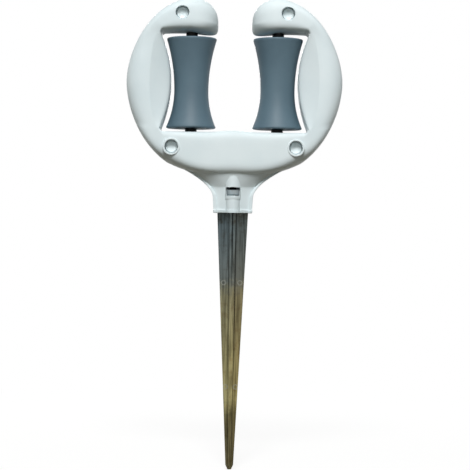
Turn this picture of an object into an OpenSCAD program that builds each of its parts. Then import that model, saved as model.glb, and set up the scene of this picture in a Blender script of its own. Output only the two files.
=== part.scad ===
// Hose guide stake: a head moulded in two halves, two hourglass rollers and a cast ground spike.
// The origin lies on the spike's axis at the ground line, under the neck. The front faces -Y and +Z is up.

/* [Head] */
// Overall width of the head
head_w = 140; // [132:1:150]
// Depth of the crossbar, front to back, which is the depth of the head
head_d = 34; // [31:0.5:38]
// Depth of the hooks, front to back
hook_d = 33; // [31:0.5:36]
// Depth of the arms at their crest, front to back
arm_d = 30; // [27:0.5:34]
// Height of the crossbar at its middle
bar_h = 25; // [23:0.5:30]
// Height of the roller bays, from the crossbar to the hooks
bay_h = 65; // [58:1:75]
// Height of the hooks above the bays
hook_h = 21.5; // [20:0.5:25]
// Gap between the tips of the hooks, where the hose drops in
mouth_w = 22; // [18:0.5:25]
// Wall of the moulded halves
wall = 2.4; // [1.8:0.1:3]

/* [Rollers] */
// Distance between the axes of the rollers
roller_pitch = 56; // [54:0.5:60]
// Diameter of the rollers at their ends
roller_d = 33; // [28:0.5:34]
// Diameter of the rollers at the waist
waist_d = 22.2; // [20:0.2:26]
// Gap between a roller's upper end and the hook
top_gap = 3.9; // [3:0.1:5]
// Gap between a roller's lower end and the crossbar
bottom_gap = 2.5; // [2:0.1:4]
// Gap between a roller's rim and the arm beside it
rim_gap = 3.1; // [2:0.1:5]
// Gap between a roller's waist and the arm beside it
waist_gap = 2; // [1:0.1:3]
// Diameter of the axles
axle_d = 5; // [4:0.1:5.5]
// Diameter of the bush collars in the gaps at the roller's ends
collar_d = 7.6; // [7:0.1:9]

/* [Neck] */
// Height of the neck and funnel, up to the crossbar
neck_h = 27; // [25:0.5:32]
// Width of the neck above its lip at the ground line
neck_w = 24.6; // [24.4:0.2:28]
// Depth of the neck across its panels, front to back
neck_d = 15.2; // [14:0.2:18]
// Width of the funnel where it meets the crossbar
flare_w = 80; // [70:1:84]
// Width of the window that shows the spike's lug
window_w = 9; // [8:0.1:10]
// Height of the window
window_h = 5.5; // [5:0.1:7]
// Height of the window's lower edge above the ground line
window_z = 10.9; // [9:0.1:12]

/* [Spike] */
// Length of the spike below the ground line
spike_l = 166.5; // [120:1:220]
// Width of the spike's web at the ground line
spike_w = 20; // [17:0.2:20.4]
// Width of the spike at its tip
tip_w = 5.6; // [4:0.2:8]
// Thickness of the web
web_t = 3.2; // [2.4:0.1:4]
// Thickness of the ribs at the ground line
rib_t = 4; // [3:0.1:5]
// Thickness of the ribs at the tip
tip_rib_t = 2; // [1.6:0.1:2.6]

/* [Screws] */
// Diameter of the screws
screw_d = 3.5; // [3:0.1:4]
// Diameter of the screw heads
screw_head_d = 6.8; // [6:0.1:7.4]
// Length of the screws under the head
screw_l = 14; // [12:0.5:16]
// Diameter of the holes that hold the plugs
plug_hole_d = 8.6; // [8:0.1:9.6]

/* [Hidden] */
$fn = 64;
left = -1;
right = 1;

// Overrun of every cut past the face that it opens
over = 1;
// Clearances: axle in a bush, pressed or seated pieces, spike in the neck, bush against the head
run_clear = 0.05;
seat_clear = 0.03;
tang_clear = 0.15;
end_clear = 0.3;

// Heights on the head
bar_z = neck_h + bar_h;
under_z = bar_z + bay_h;
top_z = under_z + hook_h;
belly_z = (bar_z + under_z) / 2;

// Roller bay: the arm's inner face runs beside the roller
roller_x = roller_pitch / 2;
corner_x = roller_x + roller_d / 2 + rim_gap;
arm_bow = corner_x - (roller_x + waist_d / 2 + waist_gap);
corner_r = 2;

// Hook: a bulb whose lip dips towards its tip
tip_x = mouth_w / 2;
tip_dip = 6.5;
nose_share = 0.26;
nose_z = under_z + hook_h * nose_share;
hook_crest_share = 0.48;
nose_start = 2;
nose_power = 2.2;
lip_power = 4;
hook_power = 3.8;
hook_in_power = 4.6;

// Arm: an oval outer side and a lens-shaped facet that leans from the crest to a rounded inner edge
side_power = 1.88;
arm_out_power = 2.2;
facet_power = 6;
facet_lean_share = 0.45;
crest_inset = 6.9;
crest_end_inset = 3;
crest_end_x = corner_x + crest_end_inset;
corner_high_angle = 52;
arm_angle = 30;
bar_angle = 66;
hook_bend_share = 0.72;
turn_start_share = 0.45;
turn_span_share = 2.2;
arm_turn_share = 4;

// Crossbar: a boat-shaped front panel that overhangs the funnel
bar_tuck = 2;
bar_lip = 3.4;
bar_crest_share = 0.92;
bar_crest_x = corner_x * bar_crest_share;
bar_crest_drop = 8;
bar_crest_z = bar_z - bar_crest_drop;
bar_bend_drop = 1.6;
bar_out_power = 2.6;
bar_mid_power = 5;
bar_in_power = 8;
bar_swell_power = 3;
hump_h = 1;
hump_share = 0.6;
hump_x = roller_x * hump_share;

// Rows and points of the moulded forms
nose_steps = 7;
hook_steps = 5;
corner_steps = 5;
arm_steps = 10;
bar_steps = 7;
section_steps = 6;
hollow_start = 3;

// Neck: bright rims at its sides, flat panels up to a crease, and above it a scoop under the crossbar
rim_w = 2.1;
rim_proud = 0.6;
rim_step = 1;
rim_top_d = 3.5;
rim_fall_z = 12;
lip = 0.4;
lip_h = 1.7;
neck_draft = 0.7;
flare_low_z = 10;
flare_rise = 4;
flare_high_z = neck_h + flare_rise;
flare_power = 1.8;
crease_z = 16.5;
scoop_gain = 6.9;
scoop_rise = 1;
scoop_high_z = neck_h + scoop_rise;
scoop_power = 2.6;
neck_steps = 6;
flare_steps = 6;
fall_steps = 4;
neck_solid_h = 17.5;
flare_sink = 2;

// Bulge over the spike's front rib, wide down to a ledge under the window and narrow below it
bulge_r = 5.4;
bulge_wall = 3;
bulge_front = spike_w / 2 + bulge_wall;
ledge_drop = 1.7;
ledge_z = window_z - ledge_drop;
ridge_r = 4.3;
ridge_wall = 2.5;
ridge_front = spike_w / 2 + ridge_wall;

// Roller, bushes and axles
roller_l = bay_h - top_gap - bottom_gap;
roller_z = bar_z + bottom_gap + roller_l / 2;
flank_h = roller_l / 2;
flank_rise = (roller_d - waist_d) / 2;
waist_drop = 5;
function flank_r(h) = (h * h + flank_rise * flank_rise) / (2 * flank_rise);
spigot_wall = 0.9;
spigot_l = 9;
axle_room = 0.5;
rim_chamfer = 1;
seat_l = 9;
saddle_wall = 2;
axle_chamfer = 0.5;

// Screws and plugs
top_boss_drop = 1.3;
top_boss_h = hook_d / 2 - top_boss_drop;
bottom_boss_drop = 0.6;
bottom_boss_h = head_d / 2 - bottom_boss_drop;
boss_wall = 1.3;
boss_floor = 5;
shank_clear = 0.25;
rear_boss_wall = 2.4;
pilot_spare = 1;
screw_head_h = 2.4;
screw_tip_l = 2;
cross_w = 1;
cross_depth = 1.2;
cross_share = 0.62;
plug_clear = 0.1;
plug_gap = 0.65;
plug_sink = 3.8;
plug_skirt_l = 3.6;
plug_wall = 1;
dish_depth = 0.5;
top_screw_out = 6;
top_screw_drop = 10.3;
bottom_screw_in = 7.6;
bottom_screw_drop = 10;
top_screw = [roller_x + top_screw_out, top_z - top_screw_drop];
bottom_screw = [corner_x - bottom_screw_in, bar_z - bottom_screw_drop];

// Spike
tang_h = 24;
tang_chamfer = 3;
point_l = 3;
point_share = 0.45;
fillet_w = 2;
core_r = (web_t + rib_t) / 2 + fillet_w;
mark_d = 3;
mark_depth = 0.4;
mark_shares = [0.27, 0.65];
mark_side_share = 0.66;
lug_side = 0.5;
lug_gap = 1.3;
lug_floor = 0.2;
lug_set = 0.8;
lug_root = 1.5;
lug_back = spike_w / 2 - lug_root;

function mix(a, b, s) = a + (b - a) * s;
function power(v, e) = sign(v) * pow(abs(v), e);
function oval(c, r, n, a) = [c.x + r.x * power(cos(a), 2 / n), c.y + r.y * power(sin(a), 2 / n)];
function bend(p, q, r, s) = mix(mix(p, q, s), mix(q, r, s), s);
function toward(p, q, d) = p + (q - p) * d / norm(q - p);

// Outer edge of one side of the head at an angle from its widest point
function side_edge(a) = oval([roller_x, belly_z],
    [head_w / 2 - roller_x, a > 0 ? top_z - belly_z : belly_z - neck_h], side_power, a);

// A row of the head holds its outer edge, crest and inner edge, its depth, two roundness powers and its lean
nose_rows = [for (i = [0 : nose_steps])
    let (s = i / nose_steps)
    let (a = mix(nose_start, 90, s))
    let (edge = oval([roller_x, nose_z], [tip_x - roller_x, top_z - nose_z], nose_power, a))
    let (low = nose_z - (nose_z - under_z + tip_dip * (1 - s)) * power(sin(a), 2 / lip_power))
    [edge, [edge.x, mix(low, edge.y, hook_crest_share)], [edge.x, low],
        hook_d / 2 * power(sin(a), 2 / nose_power), hook_power, hook_in_power, 0]];

// The hook's crest turns down into the arm's crest
hook_crest = [roller_x, mix(under_z, top_z, hook_crest_share)];
arm_crest_top = [crest_end_x, under_z - corner_r];
function high_crest(s) = bend(hook_crest, [crest_end_x, hook_crest.y], arm_crest_top, s);

// The hook's section eases into the arm's over the end of the hook, the corner and the start of the arm
function ease(s) = s * s * (3 - 2 * s);
function turn(t) = ease(min(1, max(0, (t - turn_start_share) / turn_span_share)));
function turned(t) = [mix(hook_d, arm_d, turn(t)) / 2, mix(hook_power, arm_out_power, turn(t)),
    mix(hook_in_power, facet_power, turn(t))];

hook_rows = [for (i = [1 : hook_steps])
    let (s = i / hook_steps)
    concat([side_edge(mix(90, corner_high_angle, s)), high_crest(s * hook_bend_share),
        [mix(roller_x, corner_x - corner_r, s), under_z]], turned(s), [0])];

high_corner_rows = [for (i = [1 : corner_steps])
    let (s = i / corner_steps)
    concat([side_edge(mix(corner_high_angle, arm_angle, s)), high_crest(mix(hook_bend_share, 1, s)),
        [corner_x - corner_r, under_z - corner_r] + corner_r * [sin(90 * s), cos(90 * s)]],
        turned(1 + s), [0])];

arm_rows = [for (i = [1 : arm_steps])
    let (s = i / arm_steps)
    let (z = mix(under_z - corner_r, bar_z + corner_r, s))
    let (swell = 1 - pow(2 * s - 1, 2))
    concat([side_edge(mix(arm_angle, -arm_angle, s)),
        [corner_x + mix(crest_end_inset, crest_inset, swell), z], [corner_x - arm_bow * swell, z]],
        turned(2 + s * arm_turn_share), [facet_lean_share * swell])];

// The arm's crest turns along the crossbar's lower edge
arm_crest_low = [crest_end_x, bar_z + corner_r];
bar_crest_end = [bar_crest_x, bar_crest_z];
low_corner_rows = [for (i = [1 : corner_steps])
    let (s = i / corner_steps)
    [side_edge(-mix(arm_angle, bar_angle, s)),
        bend(arm_crest_low, arm_crest_low - [0, bar_bend_drop], bar_crest_end, s),
        [corner_x - corner_r, bar_z + corner_r] + corner_r * [cos(90 * s), -sin(90 * s)],
        arm_d / 2,
        mix(arm_out_power, bar_out_power, s), mix(facet_power, bar_in_power, s), 0]];

bar_edge_end = side_edge(-bar_angle);
bar_low_z = neck_h - bar_tuck;
bar_crest_mid_z = neck_h + bar_lip;
function hump(x) = hump_h * pow(max(0, 1 - pow(x / hump_x, 2)), 2);
bar_rows = [for (i = [1 : bar_steps])
    let (k = 1 - i / bar_steps)
    let (x = (corner_x - corner_r) * k)
    [[bar_edge_end.x * k, mix(bar_low_z, bar_edge_end.y, k * k)],
        [bar_crest_x * k, mix(bar_crest_mid_z, bar_crest_z, pow(k, 3))],
        [x, bar_z + hump(x)], mix(head_d, arm_d, pow(k, bar_swell_power)) / 2,
        mix(bar_mid_power, bar_out_power, k), bar_in_power, 0]];

side_rows = concat(nose_rows, hook_rows, high_corner_rows, arm_rows, low_corner_rows, bar_rows);
function flip(row) = [[-row[0].x, row[0].y], [-row[1].x, row[1].y], [-row[2].x, row[2].y],
    row[3], row[4], row[5], row[6]];
head_rows = concat(side_rows, [for (i = [len(side_rows) - 2 : -1 : 0]) flip(side_rows[i])]);

// Section of a row: a rounded outer side up to the crest, then down to the inner edge
function lift(p, d) = [p.x, -d, p.y];
function section(row) = concat(
    [for (k = [0 : section_steps])
        let (a = 90 * k / section_steps)
        lift(mix(row[0], row[1], 1 - power(cos(a), 2 / row[4])), row[3] * power(sin(a), 2 / row[4]))],
    [for (k = [1 : section_steps])
        let (a = 90 * k / section_steps)
        let (u = power(sin(a), 2 / row[5]))
        lift(mix(row[1], row[2], u), row[3] * (1 - row[6] * u) * power(cos(a), 2 / row[5]))]);
function inset(row) = [toward(row[0], row[1], wall), row[1], toward(row[2], row[1], wall),
    row[3] - wall, row[4], row[5], row[6]];
function hollow_section(row) = concat([lift(row[0], -over)], section(row), [lift(row[2], -over)]);

// Half sizes of the neck at a height, on its rims, at its panels' edges and at their middle
function ramp(z, low, high) = max(0, (z - low) / (high - low));
function neck_half_w(z) = mix(neck_w / 2 + neck_draft * min(1, z / flare_low_z), flare_w / 2,
    pow(ramp(z, flare_low_z, flare_high_z), flare_power));
function rim_half_d(z) = mix(neck_d / 2 + rim_proud, rim_top_d, min(1, ramp(z, rim_fall_z, scoop_high_z)));
function rim_drop(z) = mix(rim_proud, rim_step, min(1, ramp(z, 0, crease_z)));
function edge_half_d(z) = min(neck_d / 2, rim_half_d(z) - rim_drop(z));
function panel_half_d(z) = neck_d / 2 + scoop_gain * min(1, ramp(z, crease_z, scoop_high_z));
function both_sides(half, z) = concat([for (p = half) [p.x, p.y, z]],
    [for (i = [len(half) - 2 : -1 : 0]) [-half[i].x, half[i].y, z]]);
function panel(w, edge, d) = [for (k = [0 : neck_steps])
    let (a = 90 * k / neck_steps)
    [w * power(cos(a), 2 / scoop_power), -mix(edge, d, power(sin(a), 2 / scoop_power))]];
function neck_section(z, grow) =
    let (w = neck_half_w(z) + grow)
    let (rim = rim_half_d(z) + grow)
    both_sides(concat([[w, 0], [w, -rim], [w - rim_w, -rim]],
        panel(w - rim_w, edge_half_d(z) + grow, panel_half_d(z) + grow)), z);
function neck_hollow(z) =
    let (w = neck_half_w(z) - rim_w - wall)
    both_sides(concat([[w, over]], panel(w, 0, panel_half_d(z) - wall)), z);
flare_top_z = flare_high_z + flare_sink;

// Solid through a list of closed loops of points
module loft(loops) {
    n = len(loops[0]);
    last = len(loops) - 1;
    sides = [for (j = [0 : last - 1], i = [0 : n - 1])
        let (a = j * n + i)
        let (b = j * n + (i + 1) % n)
        each [[a, a + n, b + n], [a, b + n, b]]];
    polyhedron([for (l = loops) each l],
        concat([[for (i = [0 : n - 1]) i]], sides, [[for (i = [n - 1 : -1 : 0]) last * n + i]]));
}

module head_form() {
    loft([for (row = head_rows) section(row)]);
}

module head_hollow() {
    last = len(head_rows) - 1 - hollow_start;
    loft([for (i = [hollow_start : last]) hollow_section(inset(head_rows[i]))]);
}

// The neck's loops run from the top down
module neck_form() {
    loft(concat([neck_section(flare_top_z, 0)],
        [for (i = [0 : flare_steps]) neck_section(mix(flare_high_z, crease_z, i / flare_steps), 0)],
        [for (i = [1 : fall_steps]) neck_section(mix(crease_z, flare_low_z, i / fall_steps), 0)],
        [neck_section(lip_h + lip, 0), neck_section(lip_h, lip), neck_section(-lip_h, lip)]));
}

module funnel_hollow() {
    loft([for (i = [0 : flare_steps]) neck_hollow(mix(flare_top_z + wall, neck_solid_h, i / flare_steps))]);
}

module neck_bulge() {
    translate([0, ridge_r - ridge_front, -2 * over]) {
        cylinder(h = window_z + 2 * over, r = ridge_r);
        cylinder(h = lip_h + lip / 2 + 2 * over, r = ridge_r + lip);
    }
    translate([0, bulge_r - bulge_front, ledge_z]) cylinder(h = flare_high_z - ledge_z, r = bulge_r);
}

// The neck with its bulge, cut off flat at the ground line
module neck() {
    difference() {
        union() {
            neck_form();
            neck_bulge();
        }
        translate([-head_w / 2, -head_d, -head_d]) cube([head_w, 2 * head_d, head_d]);
    }
}

// A round bar that points to the front, from one distance off the parting plane to another
module peg(p, from, to, r) {
    translate([p.x, -from, p.y]) rotate([90, 0, 0]) cylinder(h = to - from, r = r);
}

module both_sides_at(p) {
    for (s = [left, right])
        translate([s * p.x, 0, p.y]) children();
}

module each_screw() {
    both_sides_at(top_screw) children();
    both_sides_at(bottom_screw) children();
}

module saddles() {
    w = axle_d + 2 * saddle_wall;
    h = seat_l + saddle_wall;
    for (s = [left, right], z = [bar_z - h, under_z])
        translate([s * roller_x - w / 2, -head_d / 2, z]) cube([w, head_d / 2 + over, h]);
}

// Bores for the axles, with a flat seat over the upper bush where the hook's lip dips
module axle_bores() {
    for (s = [left, right])
        translate([s * roller_x, 0, 0]) {
            translate([0, 0, bar_z - seat_l]) cylinder(h = bay_h + 2 * seat_l, r = axle_d / 2 + seat_clear);
            translate([0, 0, under_z - tip_dip])
                cylinder(h = tip_dip - end_clear / 2, d = collar_d + 2 * end_clear);
        }
}

// Pocket for the spike's tang, a cross that the halves close round
module tang_pocket() {
    web = spike_w + 2 * tang_clear;
    rib = rib_t + 2 * tang_clear;
    h = tang_h + tang_clear + over;
    translate([-web / 2, -web_t / 2 - tang_clear, -over]) cube([web, web_t + 2 * tang_clear, h]);
    translate([-rib / 2, -web / 2, -over]) cube([rib, web, h]);
    translate([0, 0, -over]) cylinder(h = h, r = core_r + tang_clear * sqrt(2), $fn = 4);
}

module window_cut() {
    from = lug_back - tang_clear;
    translate([-window_w / 2, -from - head_d, window_z]) cube([window_w, head_d, window_h]);
}

// One half of the head, drawn as the front half
module half_head(boss_r) {
    difference() {
        union() {
            head_form();
            neck();
            children();
        }
        difference() {
            union() {
                head_hollow();
                funnel_hollow();
            }
            each_screw() peg([0, 0], -over, head_d, boss_r);
            saddles();
        }
        axle_bores();
        tang_pocket();
        window_cut();
    }
}

module front_shell() {
    boss_r = plug_hole_d / 2 + boss_wall;
    color([0.85, 0.89, 0.9]) difference() {
        half_head(boss_r) {
            both_sides_at(top_screw) peg([0, 0], boss_floor, top_boss_h, boss_r);
            both_sides_at(bottom_screw) peg([0, 0], boss_floor, bottom_boss_h, boss_r);
        }
        each_screw() {
            peg([0, 0], boss_floor, head_d, plug_hole_d / 2);
            peg([0, 0], -over, boss_floor + over, screw_d / 2 + shank_clear);
        }
    }
}

module rear_shell() {
    boss_r = screw_d / 2 + rear_boss_wall;
    pilot = screw_l - boss_floor + pilot_spare;
    color([0.83, 0.87, 0.88]) mirror([0, 1, 0]) difference() {
        half_head(boss_r);
        each_screw() peg([0, 0], -over, pilot, screw_d / 2 + seat_clear);
    }
}

// Hollow flank of a roller from its waist to one end, a round cut that leaves the rim at full width
module flank_cut(h) {
    intersection() {
        translate([waist_d / 2 + flank_r(h), 0]) circle(flank_r(h), $fn = 360);
        square([roller_d, 2 * flank_h]);
    }
}

// Hourglass roller, its waist a little below the middle, with a bore and a seat for a bush at each end
module roller(side) {
    bore_r = axle_d / 2 + axle_room;
    seat_r = axle_d / 2 + spigot_wall + seat_clear;
    color([0.37, 0.45, 0.49]) translate([side * roller_x, 0, roller_z]) rotate_extrude() difference() {
        translate([bore_r, -flank_h]) square([roller_d / 2 - bore_r, roller_l]);
        for (s = [0, 1])
            translate([0, -waist_drop]) mirror([0, s]) flank_cut(flank_h + waist_drop * (1 - 2 * s));
        for (s = [0, 1])
            mirror([0, s]) {
                translate([0, flank_h - spigot_l]) square([seat_r, flank_h]);
                translate([roller_d / 2, flank_h]) rotate(45) square(rim_chamfer * sqrt(2), center = true);
            }
    }
}

module axle(side) {
    h = bay_h + 2 * seat_l - 2 * seat_clear;
    r = axle_d / 2;
    color([0.6, 0.61, 0.62]) translate([side * roller_x, 0, belly_z - h / 2]) rotate_extrude()
        polygon([[0, 0], [r - axle_chamfer, 0], [r, axle_chamfer], [r, h - axle_chamfer],
            [r - axle_chamfer, h], [0, h]]);
}

// Flanged bush, drawn for the top end of a roller
module bush(side, end) {
    gap = end > 0 ? top_gap : bottom_gap;
    color([0.08, 0.08, 0.09]) translate([side * roller_x, 0, roller_z]) mirror([0, 0, end > 0 ? 0 : 1])
        difference() {
            union() {
                translate([0, 0, flank_h]) cylinder(h = gap - end_clear, d = collar_d);
                translate([0, 0, flank_h - spigot_l]) cylinder(h = spigot_l, r = axle_d / 2 + spigot_wall);
            }
            translate([0, 0, flank_h - spigot_l - over])
                cylinder(h = spigot_l + gap + 2 * over, r = axle_d / 2 + run_clear);
        }
}

module screw(side, p) {
    cross_l = screw_head_d * cross_share;
    color([0.66, 0.66, 0.65]) translate([side * p.x, 0, p.y]) difference() {
        union() {
            peg([0, 0], boss_floor, boss_floor + screw_head_h, screw_head_d / 2);
            peg([0, 0], boss_floor - screw_l + screw_tip_l, boss_floor + screw_head_h / 2, screw_d / 2);
            translate([0, screw_l - boss_floor - screw_tip_l, 0]) rotate([-90, 0, 0])
                cylinder(h = screw_tip_l, d1 = screw_d, d2 = 0);
        }
        for (a = [0, 90])
            translate([0, -boss_floor - screw_head_h + cross_depth, 0]) rotate([90, a, 0])
                translate([-cross_l / 2, -cross_w / 2, 0]) cube([cross_l, cross_w, cross_depth + over]);
    }
}

// Plug with a dished face: a skirt that grips the hole and a narrower disc
module plug(side, p) {
    low = boss_floor + screw_head_h;
    high = head_d / 2 - plug_sink;
    hole_r = plug_hole_d / 2;
    face_r = hole_r - plug_gap;
    dish_r = (face_r * face_r + dish_depth * dish_depth) / (2 * dish_depth);
    color([0.85, 0.87, 0.88]) translate([side * p.x, 0, p.y]) difference() {
        union() {
            peg([0, 0], low, low + plug_skirt_l, hole_r - plug_clear);
            peg([0, 0], low, high, face_r);
        }
        translate([0, -high + dish_depth - dish_r, 0]) sphere(dish_r, $fn = 180);
        peg([0, 0], low - over, low + plug_skirt_l - plug_wall, hole_r - plug_clear - plug_wall);
    }
}

// Outline of a spike arm in the plane of its width and height, from the tang's top down to the point
module arm_outline(w, low_w) {
    wide = w / 2;
    narrow = low_w / 2;
    point = narrow * point_share;
    polygon([[wide - tang_chamfer, tang_h], [wide, tang_h - tang_chamfer], [wide, 0],
        [narrow, point_l - spike_l], [point, -spike_l], [-point, -spike_l], [-narrow, point_l - spike_l],
        [-wide, 0], [-wide, tang_h - tang_chamfer], [tang_chamfer - wide, tang_h]]);
}

// A plate that stands upright across X, with its thickness centred on the spike's axis
module upright(t) {
    rotate([90, 0, 0]) linear_extrude(height = t, center = true) children();
}

module spike_ribs() {
    thick = rib_t / 2;
    thin = tip_rib_t / 2;
    intersection() {
        rotate(90) upright(spike_w) arm_outline(spike_w, tip_w);
        upright(spike_w + 2 * over)
            polygon([[-thick, tang_h + over], [thick, tang_h + over], [thick, 0], [thin, -spike_l - over],
                [-thin, -spike_l - over], [-thick, 0]]);
    }
}

// Lug that drops into the neck's window and keeps the spike from pulling out
module spike_lug() {
    w = window_w - 2 * lug_side;
    front = bulge_front - lug_set;
    translate([-w / 2, -front, window_z + lug_floor])
        cube([w, front - lug_back, window_h - lug_gap - lug_floor]);
}

// Round marks that the ejector pins leave on the front of the web
module ejector_marks() {
    for (share = mark_shares, s = [left, right])
        peg([s * mix(spike_w, tip_w, share) / 2 * mark_side_share, -spike_l * share],
            web_t / 2 - mark_depth, web_t / 2 + over, mark_d / 2);
}

module spike() {
    color([0.45, 0.44, 0.38]) difference() {
        union() {
            upright(web_t) arm_outline(spike_w, tip_w);
            spike_ribs();
            translate([0, 0, point_l - spike_l])
                cylinder(h = spike_l - point_l, r1 = tip_w / 2, r2 = core_r, $fn = 4);
            cylinder(h = tang_h, r = core_r, $fn = 4);
            spike_lug();
            mirror([0, 1, 0]) spike_lug();
        }
        ejector_marks();
    }
}

front_shell();
rear_shell();
roller(left);  // left_roller
roller(right);  // right_roller
axle(left);  // left_axle
axle(right);  // right_axle
bush(left, 1);  // left_top_bush
bush(left, -1);  // left_bottom_bush
bush(right, 1);  // right_top_bush
bush(right, -1);  // right_bottom_bush
screw(left, top_screw);  // top_left_screw
screw(right, top_screw);  // top_right_screw
screw(left, bottom_screw);  // bottom_left_screw
screw(right, bottom_screw);  // bottom_right_screw
plug(left, top_screw);  // top_left_plug
plug(right, top_screw);  // top_right_plug
plug(left, bottom_screw);  // bottom_left_plug
plug(right, bottom_screw);  // bottom_right_plug
spike();
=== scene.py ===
import math

import bmesh
import bpy
import numpy as np
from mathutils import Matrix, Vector


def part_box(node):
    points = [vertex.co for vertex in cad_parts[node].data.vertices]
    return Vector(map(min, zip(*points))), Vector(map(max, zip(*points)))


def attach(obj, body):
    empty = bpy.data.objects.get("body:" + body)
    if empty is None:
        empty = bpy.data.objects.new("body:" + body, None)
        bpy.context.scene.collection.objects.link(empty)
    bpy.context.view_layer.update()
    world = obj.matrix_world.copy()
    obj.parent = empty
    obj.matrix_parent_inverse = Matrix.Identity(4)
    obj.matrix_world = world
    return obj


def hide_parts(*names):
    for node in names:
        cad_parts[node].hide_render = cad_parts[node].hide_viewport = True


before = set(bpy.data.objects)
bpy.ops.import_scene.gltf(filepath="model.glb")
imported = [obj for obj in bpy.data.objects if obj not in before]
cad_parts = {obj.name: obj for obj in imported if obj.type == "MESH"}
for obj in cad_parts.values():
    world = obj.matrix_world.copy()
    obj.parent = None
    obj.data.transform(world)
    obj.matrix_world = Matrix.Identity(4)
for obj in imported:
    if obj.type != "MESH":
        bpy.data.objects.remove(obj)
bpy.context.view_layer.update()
mm = 0.001
# how far, in millimetres, a cutting tool reaches past the face that it cuts
overrun = 1
print("frame loaded with", len(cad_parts), "nodes")


# Small tools for shapes. Points are in millimetres and become metres in buildMesh
def mix(a, b, s):
    return a + (b - a) * s


def ramp(v, low, high):
    return min(1, max(0, (v - low) / (high - low)))


def power(v, e):
    return math.copysign(abs(v) ** e, v)


def bend(p, q, r, s):
    return mix(mix(p, q, s), mix(q, r, s), s)


def toward(start, end, length):
    return start + (end - start) / np.linalg.norm(end - start) * length


def oval(centre, radii, n, degrees):
    a = math.radians(degrees)
    return centre + radii * np.array([power(math.cos(a), 2 / n), power(math.sin(a), 2 / n)])


def roundCorner(start, corner, end, steps):
    p, q, r = (np.array(v, float) for v in (start, corner, end))
    return [bend(p, q, r, k / steps) for k in range(steps + 1)]


def soften(corners, steps=5):
    # corners are (x, y, radius); each radius rounds its corner
    points = []
    for i, (x, y, radius) in enumerate(corners):
        here = np.array([x, y], float)
        if radius == 0:
            points.append(here)
            continue
        before = np.array(corners[i - 1][:2], float)
        after = np.array(corners[(i + 1) % len(corners)][:2], float)
        points += roundCorner(toward(here, before, radius), here, toward(here, after, radius), steps)
    return points


def roundedBox(half, low, high, turn):
    return soften([(x, y, turn) for x, y in ((half, low), (half, high), (-half, high), (-half, low))])


def newObject(name, data):
    piece = bpy.data.objects.new(name, data)
    bpy.context.scene.collection.objects.link(piece)
    return piece


def buildMesh(name, points, faces):
    mesh = bpy.data.meshes.new(name)
    mesh.from_pydata((np.array(points, float) * mm).tolist(), [], faces)
    work = bmesh.new()
    work.from_mesh(mesh)
    bmesh.ops.recalc_face_normals(work, faces=work.faces)
    work.to_mesh(mesh)
    work.free()
    return newObject(name, mesh)


def loft(name, loops):
    # closed solid through loops that all have the same number of points
    n = len(loops[0])
    faces = [list(range(n)), list(range((len(loops) - 1) * n, len(loops) * n))]
    for j in range(len(loops) - 1):
        for i in range(n):
            k = (i + 1) % n
            faces.append([j * n + i, j * n + k, (j + 1) * n + k, (j + 1) * n + i])
    return buildMesh(name, np.concatenate([np.array(loop, float) for loop in loops]), faces)


def spin(name, profile, centre, axis, segments=96, ring=False):
    # profile is (radius, height); a ring's profile closes on itself, others start and end on the axis
    points = []
    faces = []
    rows = []
    for radius, height in profile:
        count = 1 if radius == 0 else segments
        rows.append(list(range(len(points), len(points) + count)))
        for i in range(count):
            a = 2 * math.pi * i / segments
            across, aside = radius * math.cos(a), radius * math.sin(a)
            offset = (across, aside, height) if axis == "z" else (across, -height, aside)
            points.append([c + o for c, o in zip(centre, offset)])
    pairs = list(zip(rows, rows[1:]))
    if ring:
        pairs.append((rows[-1], rows[0]))
    for low, high in pairs:
        for i in range(segments):
            k = (i + 1) % segments
            corners = [low[i % len(low)], low[k % len(low)], high[k % len(high)], high[i % len(high)]]
            faces.append(list(dict.fromkeys(corners)))
    return buildMesh(name, points, faces)


def block(name, low, high):
    x, y, z = zip(low, high)
    loops = [[(x[0], y[0], h), (x[1], y[0], h), (x[1], y[1], h), (x[0], y[1], h)] for h in z]
    return loft(name, loops)


def carve(piece, tool, operation):
    change = piece.modifiers.new(operation, "BOOLEAN")
    change.object = tool
    change.operation = operation
    change.solver = "MANIFOLD"
    graph = bpy.context.evaluated_depsgraph_get()
    result = bpy.data.meshes.new_from_object(piece.evaluated_get(graph))
    old = piece.data
    piece.modifiers.clear()
    piece.data = result
    bpy.data.meshes.remove(old)
    bpy.data.meshes.remove(tool.data)


def mirrorDepth(piece):
    piece.data.transform(((1, 0, 0, 0), (0, -1, 0, 0), (0, 0, 1, 0), (0, 0, 0, 1)))
    piece.data.flip_normals()


def finishPiece(piece, body, material, node, sharpAngle=32):
    piece.data.materials.clear()
    piece.data.materials.append(material)
    piece.data.shade_smooth()
    piece.data.set_sharp_from_angle(angle=math.radians(sharpAngle))
    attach(piece, body)
    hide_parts(node)


def boxMm(node):
    low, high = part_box(node)
    return np.array(low) / mm, np.array(high) / mm


# Small tools for looks
def linear(hexText):
    values = [int(hexText[i:i + 2], 16) / 255 for i in (1, 3, 5)]
    return [v / 12.92 if v <= 0.04045 else ((v + 0.055) / 1.055) ** 2.4 for v in values] + [1]


def addNode(tree, kind, links=None, inputs=None, stops=None, **settings):
    node = tree.nodes.new(kind)
    for key, value in settings.items():
        setattr(node, key, value)
    for key, value in (inputs or {}).items():
        node.inputs[key].default_value = value
    for key, socket in (links or {}).items():
        tree.links.new(socket, node.inputs[key])
    for i, (place, tone) in enumerate(stops or []):
        stop = node.color_ramp.elements[i] if i < 2 else node.color_ramp.elements.new(place)
        stop.position = place
        stop.color = linear(tone)
    return node


def newMaterial(name, look):
    material = bpy.data.materials.new(name)
    material.use_nodes = True
    tree = material.node_tree
    shader = tree.nodes["Principled BSDF"]
    for socket in ("Roughness", "IOR", "Metallic", "Specular IOR Level"):
        if socket in look:
            shader.inputs[socket].default_value = look[socket]
    place = addNode(tree, "ShaderNodeTexCoord").outputs["Object"]
    return material, tree, shader, place


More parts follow.
